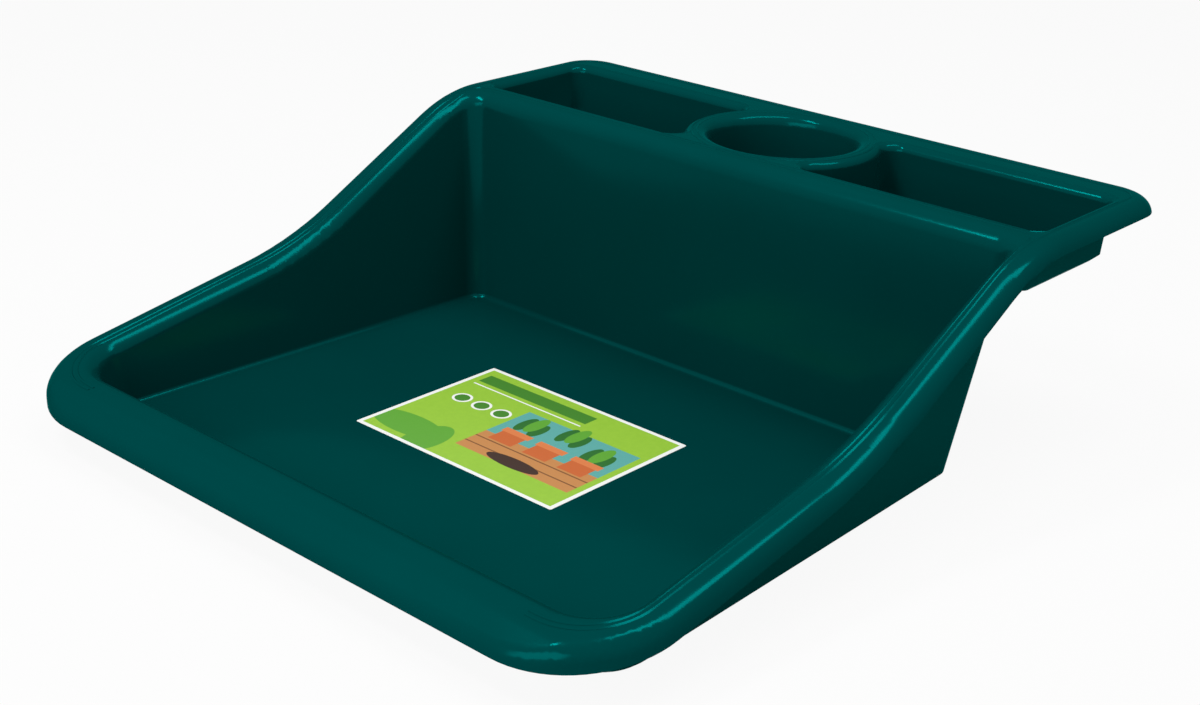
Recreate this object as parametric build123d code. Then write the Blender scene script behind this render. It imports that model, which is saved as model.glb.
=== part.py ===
from build123d import *
import os
from math import radians, sqrt, tan

# Potting tray: one thin-walled polypropylene moulding with a printed label stuck to its floor.
# X runs left to right, Y from the low front lip to the shelf, Z up.
# The origin is under the middle of the tray, on the surface that it stands on. Millimetres.

# Overall
tray_width = 550.0
tray_depth = 616.0
lip_height = 39.2
shelf_height = 175.2
wall = 2.5

# Side view of the rim: a gentle rise, a hollow curve into a steeper rise, and a round brow up to the shelf.
# The knee is where the two rises meet, as shares of the way and of the climb from the lip to the brow.
shelf_depth = 181.5
brow_lead = 3.5
knee_way_share = 0.601
knee_climb_share = 0.3287
knee_radius = 285.0
brow_radius = 134.0

# Plan view of the rim
front_corner_radius = 73.0
back_corner_radius = 35.0

# Cross-section of the rim: outer roll with its short skirt, flat land, inner round
roll_radius = 13.0
inner_round = 13.5
lip_skirt = 16.0
side_skirt = 13.0
shelf_skirt = 9.6
rim_hollow = 9.0
# the shelf's skirt ends before its roll is upright: the roll's outermost point would lie this far behind it
roll_left = max(roll_radius - shelf_skirt, 0)
tuck = roll_radius - sqrt(roll_radius**2 - roll_left**2)

# Front lip: falls away in front of the land, which makes its roll broader than the one along the sides
lip_fall_depth = 17.0
lip_fall = 12.0
lip_round = 16.0

# Basin, from the rim inwards and down
lip_width = 50.5
rim_width_front = 28.0
rim_width_back = 24.8
basin_front_corner = 33.0
basin_back_corner = 15.0
floor_round = 4.2
front_draft = 8.6
side_draft = 6.8
back_draft = 3.0

# Pockets of the shelf
shelf_rim = 39.0
pocket_width = 109.5
pocket_end_rim = 24.0
pocket_depth = 43.5
pocket_corner = 11.0
pocket_mouth_round = 6.5
pocket_floor_round = 7.0
pocket_draft = 2.5

# Cup between the pockets
cup_from_back = 85.5
cup_mouth_radius = 57.0
cup_depth = 46.0
cup_mouth_round = 9.0
cup_floor_round = 7.0
cup_draft = 4.0
cup_web = 19.0

# Label on the floor of the basin
label_width = 190.5
label_depth = 144.8
label_thickness = 0.2
label_corner = 1.5
label_left = 13.6
label_behind_middle = 14.0

# Room left around the tray by the tools that cut it, and the reach within which two faces meet
# the rounds of the underside and of the pockets' floors are cut flat: the cut as a share of the round
flat_share = 0.62
overrun = 40.0
touch = 0.01

front = -tray_depth / 2
back = tray_depth / 2
side = tray_width / 2
shelf_top = shelf_height + overrun
basin_front = front + lip_width
basin_back = back - shelf_depth
brow_place = basin_back - brow_lead
knee_place = front + knee_way_share * (brow_place - front)
knee_height = lip_height + knee_climb_share * (shelf_height - lip_height)
cup_place = back - cup_from_back


def rounded_outline(inset):
    """The tray's outline seen from above, set in evenly."""
    corners = Rectangle(tray_width - inset - inset, tray_depth + tuck - inset - inset)
    corners = Pos(0, tuck / 2, 0) * corners
    face = fillet(corners.vertices().sort_by(Axis.Y)[:2], front_corner_radius - inset)
    return fillet(face.vertices().sort_by(Axis.Y)[-2:], back_corner_radius - inset)


def lift(face, height):
    return Pos(0, 0, height) * face


def side_view(heights, turns):
    """A face under a side view of the tray: the heights at its ends, and its turns as (y, z, radius)."""
    low = -overrun - overrun
    points = [(front - overrun, low), (front - overrun, heights[0])]
    points += [(y, z) for y, z, radius in turns]
    points += [(back + overrun, heights[1]), (back + overrun, low)]
    face = make_face(Polyline(*points, close=True))
    for y, z, radius in turns:
        turn = face.vertices().sort_by_distance((y, z, 0))[0]
        face = fillet(turn, radius)
    return face


def across(face):
    """A side view drawn out to both sides of the tray."""
    return extrude(Plane.YZ * face, side + overrun, both=True)


def under_rim(inset):
    """What lies under the rim's top surface, or under its underside when set in by the wall."""
    rise = (knee_height - lip_height) / (knee_place - front)
    fall = lip_fall / lip_fall_depth
    land_height = lip_height + rise * lip_fall_depth
    turns = (
        (front + lip_fall_depth, land_height, lip_round),
        (knee_place, knee_height, knee_radius),
        (brow_place, shelf_height, brow_radius),
    )
    view = side_view((land_height - lip_fall - overrun * fall, shelf_height), turns)
    if inset:
        view = offset(view, -inset)
    return across(view)


def under_skirt():
    """What lies under the lower edge of the skirt, which hangs a little less deep towards the shelf."""
    rise = (knee_height - side_skirt - lip_height + lip_skirt) / (knee_place - front)
    turns = (
        (knee_place, knee_height - side_skirt, knee_radius),
        (brow_place, shelf_height - shelf_skirt, brow_radius),
    )
    return across(side_view((lip_height - lip_skirt - overrun * rise, shelf_height - shelf_skirt), turns))


def outer_side(point, along, lean, outset):
    """The plane of a basin wall through a point, its normal outwards, moved out by the outset."""
    return Plane(origin=point, x_dir=along, z_dir=along.cross(lean)).offset(outset)


def wall_planes(outset):
    """The planes of the basin's four drafted walls: front, back, right and left."""
    across_x = Vector(1, 0, 0)
    lean_front = Vector(0, -tan(radians(front_draft)), 1)
    lean_back = Vector(0, tan(radians(back_draft)), 1)
    lean_side = Vector(tan(radians(side_draft)), 0, 1)
    low_end = Vector(side - rim_width_front, basin_front, lip_height)
    high_end = Vector(side - rim_width_back, basin_back, shelf_height)
    right = outer_side(low_end, high_end - low_end, lean_side, outset)
    left = Plane(
        origin=(-right.origin.X, right.origin.Y, right.origin.Z),
        z_dir=(-right.z_dir.X, right.z_dir.Y, right.z_dir.Z),
    )
    return (
        outer_side(Vector(0, basin_front, wall), across_x, lean_front, outset),
        outer_side(Vector(0, basin_back, wall), -across_x, lean_back, outset),
        right,
        left,
    )


def soften(edges, radius, inset):
    """Round the edges of a visible surface, or cut those of the underside flat at the same place."""
    if inset > 0:
        return chamfer(edges, flat_share * radius)
    return fillet(edges, radius)


def upright_edges(solid):
    """The edges that run from the bottom of a solid to its top, front ones first."""
    tall = solid.bounding_box().size.Z
    edges = [e for e in solid.edges() if e.bounding_box().size.Z > tall - wall]
    return ShapeList(edges).sort_by(Axis.Y)


def basin(outset):
    """The soil basin as a solid, larger all round by the outset, reaching above the rim."""
    tall = shelf_top - wall + outset
    hollow = Box(tray_width + overrun, tray_depth, tall, align=(Align.CENTER, Align.CENTER, Align.MIN))
    hollow = lift(hollow, wall - outset)
    for plane in wall_planes(outset):
        hollow = split(hollow, bisect_by=plane, keep=Keep.BOTTOM)
    hollow = fillet(upright_edges(hollow)[:2], basin_front_corner + outset)
    hollow = fillet(upright_edges(hollow)[-2:], basin_back_corner + outset)
    sole = hollow.faces().sort_by(Axis.Z)[0]
    return soften(sole.edges(), floor_round + outset, outset)


def pocket(outset):
    """The right-hand pocket as a solid, larger all round by the outset."""
    y_back = back - shelf_rim
    y_front = y_back - pocket_width
    x_end = side - pocket_end_rim
    around = Pos(0, cup_place, 0) * Circle(cup_mouth_radius + cup_web)
    plan = Polygon((0, y_front), (x_end, y_front), (x_end, y_back), (0, y_back), align=None) - around
    plan = plan.faces().sort_by(Axis.X)[-1]
    plan = fillet(plan.vertices(), pocket_corner)
    deep = pocket_depth + outset
    mouth = offset(plan, outset + overrun * tan(radians(pocket_draft)))
    hollow = extrude(lift(mouth, shelf_top), -(overrun + deep), taper=pocket_draft)
    sole = hollow.faces().sort_by(Axis.Z)[0]
    return chamfer(sole.edges(), flat_share * (pocket_floor_round + outset))


def cup(outset):
    """The round cup as a solid of revolution, larger all round by the outset."""
    lean = tan(radians(cup_draft))
    mouth_radius = cup_mouth_radius + outset - outset * lean
    sole_radius = mouth_radius - cup_depth * lean
    sole_turn = flat_share * (cup_floor_round + outset)
    mouth_turn = cup_mouth_round - outset
    if outset > 0:
        mouth_turn = flat_share * mouth_turn
    middle = (0, -cup_depth)
    sole_end = (sole_radius - sole_turn, -cup_depth)
    wall_low = (sole_radius + sole_turn * lean, sole_turn - cup_depth)
    wall_high = (mouth_radius - mouth_turn * lean, -mouth_turn)
    mouth_end = (mouth_radius + mouth_turn, 0)
    mouth = Line(wall_high, mouth_end) if outset > 0 else Bezier(wall_high, (mouth_radius, 0), mouth_end)
    sides = [
        Line(middle, sole_end),
        Line(sole_end, wall_low),
        Line(wall_low, wall_high),
        mouth,
        Line(mouth_end, (mouth_radius + mouth_turn, overrun)),
        Line((mouth_radius + mouth_turn, overrun), (0, overrun)),
        Line((0, overrun), middle),
    ]
    profile = Plane.XZ * make_face(sides)
    return Pos(0, cup_place, shelf_height - outset) * revolve(profile, Axis.Z)


def meeting_edges(solid, tool, top):
    """The edges of the solid in which a tool's sides meet the rim's top surface."""
    found = []
    for edge in solid.edges():
        point = edge.position_at(0.5)
        on_tool = any(face.distance_to(point) < touch for face in tool.faces())
        if on_tool and any(face.distance_to(point) < touch for face in top.faces()):
            found.append(edge)
    return found


def form(inset):
    """The solid under one surface of the moulding: its visible side, or set in by the wall, its underside."""
    prism = extrude(lift(rounded_outline(inset), -overrun), shelf_top + overrun)
    top = under_rim(inset)
    solid = prism & top
    solid = soften(meeting_edges(solid, prism, top), roll_radius - inset, inset)
    right = pocket(inset)
    hollows = (
        (basin(inset), inner_round),
        (right, pocket_mouth_round),
        (mirror(right, Plane.YZ), pocket_mouth_round),
    )
    for hollow, mouth_round in hollows:
        solid = solid - hollow
        solid = soften(meeting_edges(solid, hollow, top), mouth_round - inset, inset)
    return solid - cup(inset)


def below_skirt():
    """What lies under the lower edge of the rim's skirt, in a band around the tray."""
    band = rounded_outline(-overrun) - rounded_outline(rim_hollow)
    ring = extrude(lift(band, -overrun - touch), shelf_top + overrun)
    return ring & under_skirt()


def tray():
    """The one-piece moulding: basin, rim, shelf with two pockets, and cup."""
    shell = form(0) - form(wall) - below_skirt()
    return shell.solids().sort_by(SortBy.VOLUME)[-1]


def label():
    """The printed label, a thin sheet that lies on the floor of the basin."""
    sheet = extrude(RectangleRounded(label_width, label_depth, label_corner), label_thickness)
    middle = (basin_front + basin_back) / 2
    return Pos(-label_left, middle + label_behind_middle, wall) * sheet


os.makedirs("parts", exist_ok=True)
export_step(tray(), "parts/tray_moulding.step")
export_step(label(), "parts/label.step")
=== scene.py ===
# %% [markdown]
# # Potting tray
# A potting tray is one glossy bluish-green moulding that stands on a bench, with a printed label on its floor.
# The shape comes ready-made from the CAD frame, in metres. This lesson dresses it: camera, plastic, a smooth
# copy of the moulding, the mould's crisp lines, the label's print and the studio.

# %% Load the frame
import math

import bmesh
import bpy
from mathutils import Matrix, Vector


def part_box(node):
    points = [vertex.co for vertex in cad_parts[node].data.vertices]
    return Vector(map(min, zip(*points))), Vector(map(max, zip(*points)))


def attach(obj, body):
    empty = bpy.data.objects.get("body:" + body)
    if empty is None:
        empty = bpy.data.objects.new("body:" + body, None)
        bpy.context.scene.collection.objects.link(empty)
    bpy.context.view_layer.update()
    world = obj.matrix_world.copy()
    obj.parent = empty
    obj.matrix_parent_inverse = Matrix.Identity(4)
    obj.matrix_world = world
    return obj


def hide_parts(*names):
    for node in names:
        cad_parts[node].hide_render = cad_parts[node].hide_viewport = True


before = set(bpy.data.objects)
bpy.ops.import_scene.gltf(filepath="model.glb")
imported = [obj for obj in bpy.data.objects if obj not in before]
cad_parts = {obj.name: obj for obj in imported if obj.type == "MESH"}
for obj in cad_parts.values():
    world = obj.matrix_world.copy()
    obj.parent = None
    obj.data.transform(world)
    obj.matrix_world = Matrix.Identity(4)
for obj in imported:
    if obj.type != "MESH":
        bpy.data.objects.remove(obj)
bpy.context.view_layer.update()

print("nodes:", sorted(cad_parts))

# %% [markdown]
# ## Camera
# The camera stands in front of the tray's right corner and looks down into the basin. It comes first, because
# every later choice is judged through it. The picture it copies is cropped off centre, so the lens is shifted
# a little; a larger shift would push the tray out of the other views.

# %% Camera
PICTURE_WIDTH = 1200  # pixels
FOCAL_PIXELS = 1787.97
SENSOR_MM = 36.0
SHIFT_ACROSS, SHIFT_UP = 0.10, 0.085
CAMERA_PLACE = (0.767690, -0.916327, 0.548331)
CAMERA_TURN = (64.17139, -1.51078, 44.21394)  # degrees

camera_data = bpy.data.cameras.new("camera")
camera_data.sensor_width = SENSOR_MM
camera_data.lens = FOCAL_PIXELS * SENSOR_MM / PICTURE_WIDTH
camera_data.shift_x = SHIFT_ACROSS
camera_data.shift_y = SHIFT_UP
camera = bpy.data.objects.new("camera", camera_data)
camera.location = CAMERA_PLACE
camera.rotation_euler = [math.radians(angle) for angle in CAMERA_TURN]
bpy.context.scene.collection.objects.link(camera)
bpy.context.scene.camera = camera
print("lens", round(camera_data.lens, 2), "mm")

# %% [markdown]
# ## Shader sums
# A pattern on a surface is a sum of positions and masks. Wiring each Math node by hand is slow to read, so one
# small class wraps a socket: ordinary Python operators on it add the Math nodes.

# %% A socket that can be added up
class Shade:
    """A number or colour inside a material. Python's operators on it add Math nodes."""

    def __init__(self, tree, socket=None):
        self.tree = tree
        self.socket = socket

    def node(self, kind, settings=None, inputs=None, output=0):
        """Any node: its settings are set first, then its sockets get values or links."""
        made = self.tree.nodes.new(kind)
        for name, value in (settings or {}).items():
            setattr(made, name, value)
        for name, value in (inputs or {}).items():
            if isinstance(value, Shade):
                self.tree.links.new(value.socket, made.inputs[name])
            else:
                made.inputs[name].default_value = value
        return Shade(self.tree, made.outputs[output])

    def math(self, operation, first, second):
        return self.node("ShaderNodeMath", {"operation": operation}, {0: first, 1: second})

    def __add__(self, other):
        return self.math("ADD", self, other)

    __radd__ = __add__

    def __sub__(self, other):
        return self.math("SUBTRACT", self, other)

    def __rsub__(self, other):
        return self.math("SUBTRACT", other, self)

    def __mul__(self, other):
        return self.math("MULTIPLY", self, other)

    __rmul__ = __mul__

    def __truediv__(self, other):
        return self.math("DIVIDE", self, other)

    def __rtruediv__(self, other):
        return self.math("DIVIDE", other, self)

    def __lt__(self, other):
        return self.math("LESS_THAN", self, other)

    def __gt__(self, other):
        return self.math("GREATER_THAN", self, other)


print("shader sums ready")

# %% Helpers for a material
COLOUR_A, COLOUR_B, COLOUR_OUT = 6, 7, 2  # the Mix node's sockets for colours


def new_material(name):
    """A material with its Principled shader, and a Shade to build on."""
    material = bpy.data.materials.new(name)
    material.use_nodes = True
    return material, material.node_tree.nodes["Principled BSDF"], Shade(material.node_tree)


def place(start):
    """A point's place on the object, in metres."""
    return start.node("ShaderNodeTexCoord", output="Object")


def noise(where, scale, detail):
    """Soft spots between 0 and 1. A larger scale makes smaller spots."""
    return where.node("ShaderNodeTexNoise", inputs={"Vector": where, "Scale": scale, "Detail": detail})


def blend_colours(start, mask, under, over):
    """The colour over where the mask is 1, and under where it is 0."""
    inputs = {0: mask, COLOUR_A: under, COLOUR_B: over}
    return start.node("ShaderNodeMix", {"data_type": "RGBA"}, inputs, COLOUR_OUT)


def feed(shader, name, shade):
    """Links a Shade to one of a shader's own sockets."""
    shade.tree.links.new(shade.socket, shader.inputs[name])


print("material helpers ready")

# %% [markdown]
# ## Plastic
# Polypropylene from a polished mould: deep bluish green, glossy, with the very slight unevenness of shrinkage
# that makes the edges of reflections swim a little. A flat colour would look like paint, so colour, roughness
# and bump each get their own soft noise. Its reflections keep the plastic's own hue, so it is partly metallic
# with a tinted edge, where a plain white gloss would turn it grey.

# %% Plastic
PLASTIC_DEEP = (0.0, 0.048, 0.047, 1.0)
PLASTIC_PALE = (0.0, 0.056, 0.055, 1.0)
LEAST_ROUGH, ROUGHNESS_SPREAD = 0.13, 0.06
RIPPLE_STRENGTH, RIPPLE_HEIGHT = 0.04, 0.0006
PLASTIC_GLOSS = {"Metallic": 0.30, "Specular IOR Level": 0.0, "Specular Tint": (0.0, 0.5, 0.48, 1.0)}

plastic, plastic_shader, start = new_material("glossy_polypropylene")
where = place(start)
clouds = noise(where, scale=9.0, detail=3.0)
patches = noise(where, scale=34.0, detail=4.0)
ripple = noise(where, scale=55.0, detail=2.0)
bump_inputs = {"Strength": RIPPLE_STRENGTH, "Distance": RIPPLE_HEIGHT, "Height": ripple}
feed(plastic_shader, "Base Color", blend_colours(start, clouds, PLASTIC_DEEP, PLASTIC_PALE))
feed(plastic_shader, "Roughness", LEAST_ROUGH + patches * ROUGHNESS_SPREAD)
feed(plastic_shader, "Normal", start.node("ShaderNodeBump", inputs=bump_inputs))
for name, value in PLASTIC_GLOSS.items():
    plastic_shader.inputs[name].default_value = value
print("plastic:", len(plastic.node_tree.nodes), "nodes")

# %% [markdown]
# ## The moulding
# The CAD shape is right, but its triangles are separate and shade flat, and a CAD mesh is never changed. So a
# copy of it is merged, shaded smooth and given weighted normals, which keep the large flat walls flat and the
# rounds round. The copy stands for the node, which is hidden.

# %% Working on one mesh
def select_only(piece):
    """Makes one piece the only selected and the active one, as a click on it does."""
    bpy.ops.object.select_all(action="DESELECT")
    piece.select_set(True)
    bpy.context.view_layer.objects.active = piece


def merge_points(within):
    """Joins the active mesh's points that lie on each other."""
    bpy.ops.object.mode_set(mode="EDIT")
    bpy.ops.mesh.select_all(action="SELECT")
    bpy.ops.mesh.remove_doubles(threshold=within)
    bpy.ops.object.mode_set(mode="OBJECT")


print("mesh helpers ready")

# %% A smooth copy of the moulding
MOULDING_SMOOTH = math.radians(32)  # sharper edges than this stay sharp
LARGE_FACE_WEIGHT = 60

moulding = bpy.data.objects.new("moulding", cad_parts["tray_moulding"].data.copy())
bpy.context.scene.collection.objects.link(moulding)
select_only(moulding)
merge_points(within=0.00001)
bpy.ops.object.shade_smooth_by_angle(angle=MOULDING_SMOOTH)
weighted = moulding.modifiers.new("even_walls", "WEIGHTED_NORMAL")
weighted.keep_sharp = True
weighted.weight = LARGE_FACE_WEIGHT
bpy.ops.object.modifier_apply(modifier=weighted.name)
moulding.data.materials.clear()
moulding.data.materials.append(plastic)
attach(moulding, "root")
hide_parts("tray_moulding")
print("moulding:", len(moulding.data.vertices), "points", len(moulding.data.polygons), "faces")

# %% [markdown]
# ## Crisp lines of the mould
# Between the inner rounds and the outer roll the moulding has fine raised lines, a few tenths of a millimetre
# high, that catch the light round the rim, the pockets and the cup. A bump in the material would leave them out
# of the mesh, so each is a low ridge of diamond section, sunk by half. Its flat sides lean just enough to
# mirror the overhead light, and one side is steeper than the other.
# Two of them start as flat outlines that a shrinkwrap lets down on the rim, a groove's width apart. Another
# follows the edge of the flat shelf round the pockets and the cup's mouth, and the last is a wider ring round
# the cup.

# %% Picking by place
def pick(kind, test):
    """Selects the points, edges or faces that pass the test, and nothing else. Leaves edit mode open."""
    bpy.ops.object.mode_set(mode="EDIT")
    bpy.ops.mesh.select_mode(type=kind)
    bpy.ops.mesh.select_all(action="DESELECT")
    form = bmesh.from_edit_mesh(bpy.context.object.data)
    for item in {"VERT": form.verts, "EDGE": form.edges, "FACE": form.faces}[kind]:
        if test(item):
            item.select_set(True)
    bmesh.update_edit_mesh(bpy.context.object.data)


print("picking ready")

# %% A ridge along a line
BEAD_SUNK = 0.00005
BEAD_SMOOTH = math.radians(16)


def bead_section(outside, inside, height):
    """A diamond-shaped curve, wider on one side of its ridge than on the other."""
    bpy.ops.object.select_all(action="DESELECT")
    bpy.ops.mesh.primitive_circle_add(vertices=4, radius=1.0)
    section = bpy.context.object
    pick("VERT", lambda corner: corner.co.x < -0.5)
    bpy.ops.transform.translate(value=(1 - inside / outside, 0, 0))
    bpy.ops.object.mode_set(mode="OBJECT")
    section.scale = (outside, height, 1.0)
    bpy.ops.object.transform_apply(location=True, rotation=False, scale=True)
    bpy.ops.object.convert(target="CURVE")
    return section


def make_bead(name, outside, inside, height):
    """Turns the active line of edges into a low ridge of the tray's plastic."""
    bead = bpy.context.object
    bead.name = name
    bead.location.z -= BEAD_SUNK
    bpy.ops.object.transform_apply(location=True, rotation=True, scale=True)
    bpy.ops.object.convert(target="CURVE")
    section = bead_section(outside, inside, height)
    bead.data.twist_mode = "Z_UP"
    bead.data.bevel_mode = "OBJECT"
    bead.data.bevel_object = section
    bead.data.use_fill_caps = True
    select_only(bead)
    bpy.ops.object.convert(target="MESH")
    bpy.data.objects.remove(section)
    merge_points(within=0.000001)
    bpy.ops.object.shade_smooth_by_angle(angle=BEAD_SMOOTH)
    bead.data.materials.clear()
    bead.data.materials.append(plastic)
    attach(bead, "root")
    top = max(corner.co.z for corner in bead.data.vertices)
    print(name, len(bead.data.polygons), "faces, top", round(top, 5))


print("ridges ready")

# %% An outline let down on the rim
DRAWN_AT = 0.3  # well above the tray
CORNER_STEPS = 14
HALVINGS = 7
LONGEST_PIECE = 0.007
LIP_END, LIP_HALF = -0.25, 0.2


def outline(half_width, front, back):
    """A flat rectangle above the tray, ready to have its corners rounded."""
    bpy.ops.object.select_all(action="DESELECT")
    bpy.ops.mesh.primitive_plane_add(size=1, location=(0, (front + back) / 2, DRAWN_AT))
    bpy.context.object.scale = (2 * half_width, back - front, 1)
    bpy.ops.object.transform_apply(location=True, rotation=False, scale=True)


def round_corners(test, radius):
    """Rounds the active outline's corners that pass the test."""
    pick("VERT", lambda corner: test(corner.co))
    bpy.ops.mesh.bevel(affect="VERTICES", offset=radius, offset_type="OFFSET", segments=CORNER_STEPS)
    bpy.ops.object.mode_set(mode="OBJECT")


def on_straight_lip(corner):
    return corner.co.y <= LIP_END and abs(corner.co.x) <= LIP_HALF


def let_down():
    """Cuts the active outline short, leaves out the smooth front lip and lays the rest on the moulding."""
    pick("FACE", lambda face: True)
    bpy.ops.mesh.delete(type="ONLY_FACE")
    for halving in range(HALVINGS):
        pick("EDGE", lambda line: line.calc_length() > LONGEST_PIECE)
        bpy.ops.mesh.subdivide(number_cuts=1)
    pick("VERT", on_straight_lip)
    bpy.ops.mesh.delete(type="VERT")
    bpy.ops.object.mode_set(mode="OBJECT")
    wrap = bpy.context.object.modifiers.new("lie_on_rim", "SHRINKWRAP")
    wrap.target = moulding
    wrap.wrap_method = "PROJECT"
    wrap.use_project_z = True
    wrap.use_negative_direction = True
    wrap.use_positive_direction = False
    bpy.ops.object.modifier_apply(modifier=wrap.name)


print("outlines ready")

# %% Two lines round the rim
RIM_BEAD = (0.0014, 0.00065, 0.00056)  # width outside its ridge, width inside it, height


def rim_line(name, half_width, front, back, front_radius, back_radius):
    """One raised line round the rim, all but the straight front lip."""
    outline(half_width, front, back)
    round_corners(lambda corner: corner.y < 0, front_radius)
    round_corners(lambda corner: corner.y > 0, back_radius)
    let_down()
    make_bead(name, *RIM_BEAD)


rim_line("inner_line", 0.2548, -0.2803, 0.1505, front_radius=0.043, back_radius=0.012)
rim_line("outer_line", 0.2586, -0.2841, 0.2915, front_radius=0.046, back_radius=0.018)

# %% The edges of the flat shelf
SHELF_TOP = max(corner.co.z for corner in moulding.data.vertices)
FLAT_NORMAL, NEAR_TOP = 0.9999, 0.00005

lines = moulding.copy()
lines.data = moulding.data.copy()
for note in list(lines.keys()):
    del lines[note]
bpy.context.scene.collection.objects.link(lines)
select_only(lines)


def below_shelf(face):
    """Anything but the level top of the shelf."""
    return face.normal.z < FLAT_NORMAL or face.calc_center_median().z < SHELF_TOP - NEAR_TOP


pick("FACE", below_shelf)
bpy.ops.mesh.delete(type="FACE")
pick("FACE", lambda face: True)
bpy.ops.mesh.region_to_loop()
bpy.ops.mesh.select_all(action="INVERT")
bpy.ops.mesh.delete(type="EDGE_FACE")
print("shelf top", round(SHELF_TOP, 5), "points", len(bmesh.from_edit_mesh(lines.data).verts))

# %% Lines round the pockets and the cup
SHELF_BEAD = (0.0009, 0.0006, 0.00040)
POCKET_SIDE, POCKET_BACK = 0.2575, 0.28
CUP_SIDE, CUP_BACK = 0.1, 0.2925
POCKET_INNER_END = 0.08


def off_openings(corner):
    """On the shelf's own outer edge, or on no edge: not round a pocket or the cup."""
    across, along = abs(corner.co.x), corner.co.y
    by_opening = along < POCKET_BACK or (across < CUP_SIDE and along < CUP_BACK)
    return not corner.link_edges or across >= POCKET_SIDE or not by_opening


def close_front(side):
    """Draws one pocket's front line, where the shelf has no flat land, between the ends of its edge."""
    pick("VERT", lambda corner: False)
    form = bmesh.from_edit_mesh(lines.data)
    here = [corner for corner in form.verts if corner.co.x * side > 0]
    by_cup = [corner for corner in here if abs(corner.co.x) < POCKET_INNER_END]
    outer_end = max(here, key=lambda corner: (len(corner.link_edges) == 1, -corner.co.y))
    inner_end = min(by_cup, key=lambda corner: corner.co.y)
    for end in (outer_end, inner_end):
        end.select_set(True)
    print("pocket front", [round(value, 4) for end in (outer_end, inner_end) for value in end.co])
    bmesh.update_edit_mesh(lines.data)
    bpy.ops.mesh.edge_face_add()


pick("VERT", off_openings)
bpy.ops.mesh.delete(type="VERT")
for side in (-1, 1):
    close_front(side)
bpy.ops.object.mode_set(mode="OBJECT")
make_bead("opening_lines", *SHELF_BEAD)

# %% A wider ring round the cup
CUP_MIDDLE = (0, 0.2225, SHELF_TOP)
CUP_RING_RADIUS = 0.0705

bpy.ops.object.select_all(action="DESELECT")
bpy.ops.mesh.primitive_circle_add(radius=CUP_RING_RADIUS, vertices=96, location=CUP_MIDDLE)
make_bead("cup_line", *SHELF_BEAD)

# %% [markdown]
# ## Label
# A printed film on the floor of the basin: white edge, leaf-green field, a garden picture. The print is a plain
# design of its own, drawn from rectangles and ovals in the label's own place, so it needs no picture file.

# %% Masks for the print
def bar(x, y, left, right, low, high):
    """1 inside a rectangle, in millimetres from the label's middle."""
    return (x > left) * (x < right) * (y > low) * (y < high)


def oval(x, y, middle_x, middle_y, half_width, half_height):
    """1 inside an oval, in millimetres from the label's middle."""
    across = (x - middle_x) / half_width
    up = (y - middle_y) / half_height
    return (across * across + up * up) < 1.0


print("print masks ready")

# %% The film
MM = 1000.0
FIELD, FIELD_PALE = (0.245, 0.465, 0.033, 1), (0.30, 0.53, 0.046, 1)

low_corner, high_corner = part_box("label")
middle = [(low + high) / 2 for low, high in zip(low_corner, high_corner)]
half_wide = MM * (high_corner[0] - low_corner[0]) / 2
half_deep = MM * (high_corner[1] - low_corner[1]) / 2
film, film_shader, start = new_material("label_print")
where = place(start)
x, y = [
    (start.node("ShaderNodeSeparateXYZ", inputs={0: where}, output=axis) - middle[axis]) * MM
    for axis in range(2)
]
grain = noise(where, scale=260.0, detail=4.0)
field = blend_colours(start, grain, FIELD, FIELD_PALE)
print("label", round(2 * half_wide, 1), "by", round(2 * half_deep, 1), "mm")

# %% The design
DEEP_GREEN, WHITE = (0.05, 0.20, 0.02, 1), (0.82, 0.83, 0.81, 1)
SKY, SOIL = (0.10, 0.36, 0.33, 1), (0.035, 0.014, 0.008, 1)
BOARD, JOINT = (0.50, 0.22, 0.07, 1), (0.20, 0.08, 0.025, 1)
POT, POT_RIM = (0.52, 0.12, 0.03, 1), (0.64, 0.19, 0.06, 1)
LEAF, LEAF_PALE = (0.02, 0.13, 0.02, 1), (0.10, 0.33, 0.03, 1)
PICTURE_LEFT, PICTURE_RIGHT, PICTURE_LOW, PICTURE_TOP, BOARD_TOP = -20, 86, -46, 32, -14


def picture_bar(low, high):
    """A band across the whole garden picture."""
    return bar(x, y, PICTURE_LEFT, PICTURE_RIGHT, low, high)


design = [
    (oval(x, y, -66, -48, 34, 15), LEAF_PALE),
    (oval(x, y, -40, -56, 14, 26), LEAF_PALE),
    (bar(x, y, -86, 22, 46, 60), DEEP_GREEN),
    (bar(x, y, -86, 22, 40, 41.5), WHITE),
    (picture_bar(PICTURE_LOW, PICTURE_TOP), SKY),
    (picture_bar(PICTURE_LOW, BOARD_TOP), BOARD),
    (picture_bar(-25.5, -24), JOINT),
    (picture_bar(-36.5, -35), JOINT),
]
for pot, tall in ((0, 18), (33, 26), (66, 14)):
    design += [
        (oval(x, y, pot - 7, tall - 4, 5, 13), LEAF),
        (oval(x, y, pot + 7, tall - 6, 5, 12), LEAF),
        (oval(x, y, pot, tall, 5.5, 14), LEAF_PALE),
        (bar(x, y, pot - 11, pot + 11, -22, -2), POT),
        (bar(x, y, pot - 13, pot + 13, -6, 1), POT_RIM),
    ]
design += [(oval(x, y, 30, -40, 24, 7), SOIL)]
for disc in (-72, -52, -32):
    design += [(oval(x, y, disc, 14, 8, 8), WHITE), (oval(x, y, disc, 14, 6, 6), DEEP_GREEN)]
print("design:", len(design), "shapes")

# %% The print on the film
LABEL_BORDER = 3.5
LEAST_FILM_ROUGH, FILM_ROUGHNESS_SPREAD = 0.38, 0.1
FILM_SPECULAR = 0.3

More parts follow.
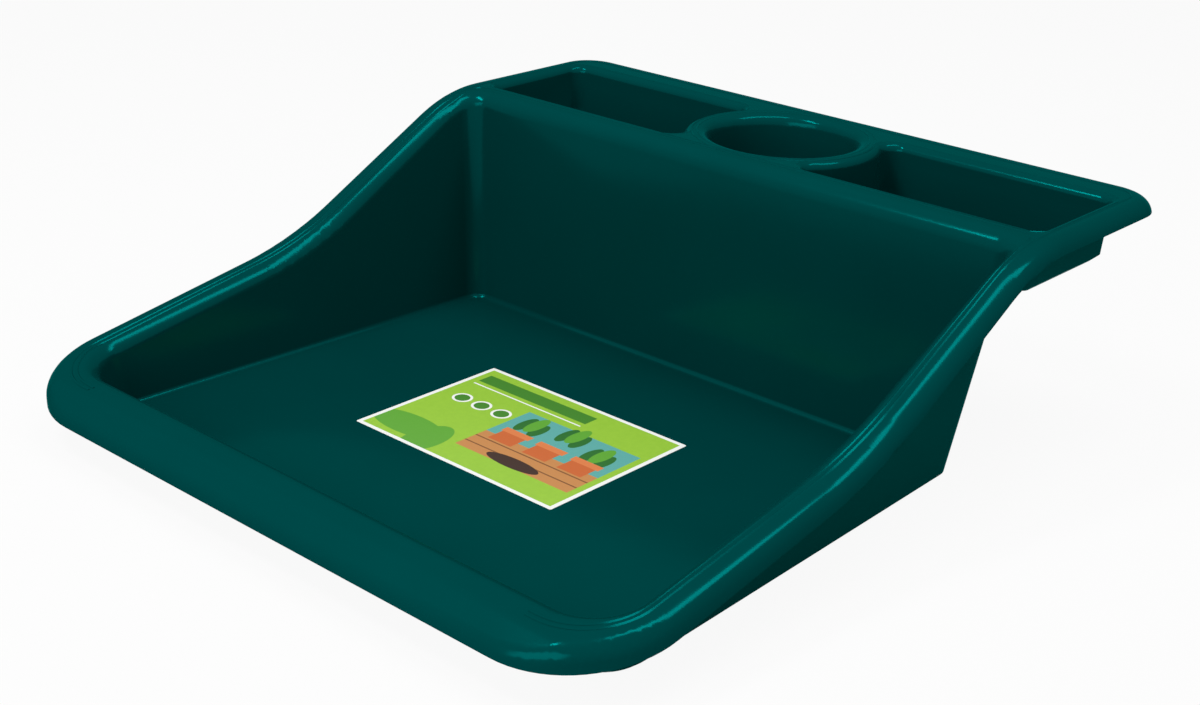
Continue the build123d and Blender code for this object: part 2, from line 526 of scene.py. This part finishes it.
colour = field
for mask, ink in design:
    colour = blend_colours(start, mask, colour, ink)
inner_wide, inner_deep = half_wide - LABEL_BORDER, half_deep - LABEL_BORDER
colour = blend_colours(start, bar(x, y, -inner_wide, inner_wide, -inner_deep, inner_deep), WHITE, colour)
feed(film_shader, "Base Color", colour)
feed(film_shader, "Roughness", LEAST_FILM_ROUGH + grain * FILM_ROUGHNESS_SPREAD)
film_shader.inputs["Specular IOR Level"].default_value = FILM_SPECULAR
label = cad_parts["label"]
label.data.materials.clear()
label.data.materials.append(film)
print("film:", len(film.node_tree.nodes), "nodes")

# %% [markdown]
# ## Studio
# A pale floor, a dim even surround and a few large soft lamps. Lighting the ground until it is white would also
# brighten the tray, so the surround and the floor are white only to the rays that the camera, a reflection or
# glass sends out, and the floor keeps a little of its plain surface for the tray's shadow.

# %% Surround
SURROUND_LIGHT = 0.26


def seen(start):
    """1 on the rays by which the camera sees a thing, also mirrored or through glass, and 0 on other light."""
    kinds = ("Is Camera Ray", "Is Glossy Ray", "Is Transmission Ray")
    straight, mirrored, through = [start.node("ShaderNodeLightPath", output=kind) for kind in kinds]
    return straight + mirrored + through


world = bpy.data.worlds.new("surround")
bpy.context.scene.world = world
world.use_nodes = True
background = world.node_tree.nodes["Background"]
background.inputs["Color"].default_value = (1, 1, 1, 1)
feed(background, "Strength", SURROUND_LIGHT + seen(Shade(world.node_tree)) * (1 - SURROUND_LIGHT))
print("surround light", SURROUND_LIGHT)

# %% Floor
FLOOR_SIZE = 12.0
FLOOR_GREY = (0.6, 0.6, 0.6, 1)
FLOOR_WHITE_SHARE = 0.93

bpy.ops.object.select_all(action="DESELECT")
bpy.ops.mesh.primitive_plane_add(size=FLOOR_SIZE, location=(0, 0, 0))
floor = bpy.context.object
floor.name = "floor"
floor_material, _, start = new_material("pale_floor")
matt = start.node("ShaderNodeBsdfDiffuse", inputs={"Color": FLOOR_GREY})
white = start.node("ShaderNodeEmission", inputs={"Color": (1, 1, 1, 1), "Strength": 1.0})
floor_mix = start.node("ShaderNodeMixShader", inputs={0: seen(start) * FLOOR_WHITE_SHARE, 1: matt, 2: white})
feed(floor_material.node_tree.nodes["Material Output"], "Surface", floor_mix)
floor.data.materials.append(floor_material)
print("floor", FLOOR_SIZE, "m")

# %% Lamps
def soft_lamp(name, stand, aim, width, height, watts):
    """A large rectangular lamp that points at a place and isn't itself seen."""
    lamp = bpy.data.lights.new(name, "AREA")
    lamp.shape = "RECTANGLE"
    lamp.size = width
    lamp.size_y = height
    lamp.energy = watts
    holder = bpy.data.objects.new(name, lamp)
    holder.location = stand
    holder.rotation_euler = (Vector(aim) - Vector(stand)).to_track_quat("-Z", "Y").to_euler()
    holder.visible_camera = False
    bpy.context.scene.collection.objects.link(holder)


soft_lamp("overhead_strip", (0.45, 0.45, 1.75), (0.1, 0.1, 0.1), 0.36, 1.3, 17)
soft_lamp("front_left", (-0.45, -0.75, 1.70), (0, 0, 0.05), 0.28, 0.60, 15)
soft_lamp("front_fill", (0.2, -2.3, 1.0), (0, 0, 0.1), 2.0, 1.0, 25)

# %% Finish
bpy.context.scene.view_settings.view_transform = "Standard"
